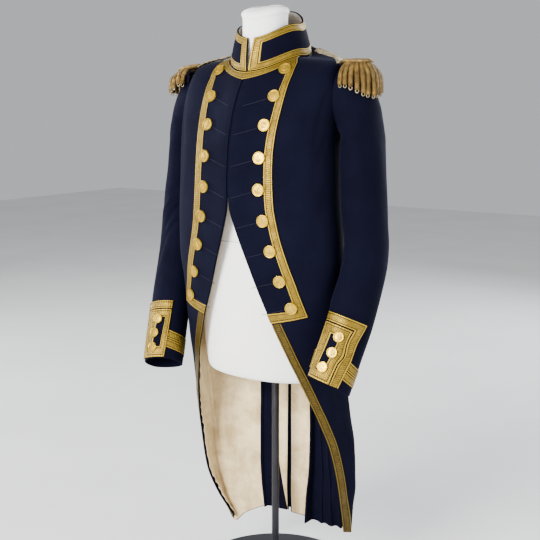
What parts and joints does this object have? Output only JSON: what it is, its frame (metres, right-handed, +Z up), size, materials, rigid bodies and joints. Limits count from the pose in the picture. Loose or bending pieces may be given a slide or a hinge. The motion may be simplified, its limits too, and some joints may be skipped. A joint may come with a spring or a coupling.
{
  "type": "military tailcoat on a dress form",
  "caption": "Dark blue full-dress naval tailcoat with gold lace, gilt buttons and fringed epaulettes, worn by a plain white dress form without limbs on a pole stand.",
  "frame": {"origin": "on the floor, at the middle of the stand's base, under the pole's axis", "axes": "+Z up, the coat faces -Y, +X is the wearer's left"},
  "size_m": [0.5462, 0.36, 1.239],
  "materials": {
    "navy_cloth": "matte fulled wool",
    "cream_lining": "soft woven lining",
    "grey_lining": "worn lining",
    "gold_lace": "woven metal-thread lace",
    "gilt": "satin gilt",
    "pale_bullion": "tarnished metal-thread lace",
    "gold_bullion": "coiled metal-thread bullion",
    "white_form": "smooth stretched white cover",
    "dark_iron": "satin black"
  },
  "bodies": {
    "root": {"front_L": "navy_cloth", "back_L": "navy_cloth", "lining_front_L": "cream_lining", "lining_back_L": "cream_lining", "lapel_L": "navy_cloth", "lapel_lace_L": "gold_lace", "skirt_lace_L": "gold_lace", "upper_sleeve_L": "navy_cloth", "under_sleeve_L": "navy_cloth", "cuff_flap_L": "navy_cloth", "cuff_lace_L": "gold_lace", "cuff_ring_L": "gold_lace", "lapel_button_L_1": "gilt", "lapel_button_L_2": "gilt", "lapel_button_L_3": "gilt", "lapel_button_L_4": "gilt", "lapel_button_L_5": "gilt", "lapel_button_L_6": "gilt", "lapel_button_L_7": "gilt", "lapel_button_L_8": "gilt", "lapel_button_L_9": "gilt", "cuff_button_L_1": "gilt", "cuff_button_L_2": "gilt", "cuff_button_L_3": "gilt", "epaulette_strap_L": "pale_bullion", "epaulette_pad_L": "gold_bullion", "epaulette_fringe_L": "gold_bullion", "front_R": "navy_cloth", "back_R": "navy_cloth", "lining_front_R": "cream_lining", "lining_back_R": "cream_lining", "lapel_R": "navy_cloth", "lapel_lace_R": "gold_lace", "skirt_lace_R": "gold_lace", "upper_sleeve_R": "navy_cloth", "under_sleeve_R": "navy_cloth", "cuff_flap_R": "navy_cloth", "cuff_lace_R": "gold_lace", "cuff_ring_R": "gold_lace", "lapel_button_R_1": "gilt", "lapel_button_R_2": "gilt", "lapel_button_R_3": "gilt", "lapel_button_R_4": "gilt", "lapel_button_R_5": "gilt", "lapel_button_R_6": "gilt", "lapel_button_R_7": "gilt", "lapel_button_R_8": "gilt", "lapel_button_R_9": "gilt", "cuff_button_R_1": "gilt", "cuff_button_R_2": "gilt", "cuff_button_R_3": "gilt", "epaulette_strap_R": "pale_bullion", "epaulette_pad_R": "gold_bullion", "epaulette_fringe_R": "gold_bullion", "collar": "navy_cloth", "collar_lace": "gold_lace", "collar_lining": "grey_lining", "dress_form": "white_form", "stand_pole": "dark_iron", "stand_base": "dark_iron"}
  },
  "joints": []
}
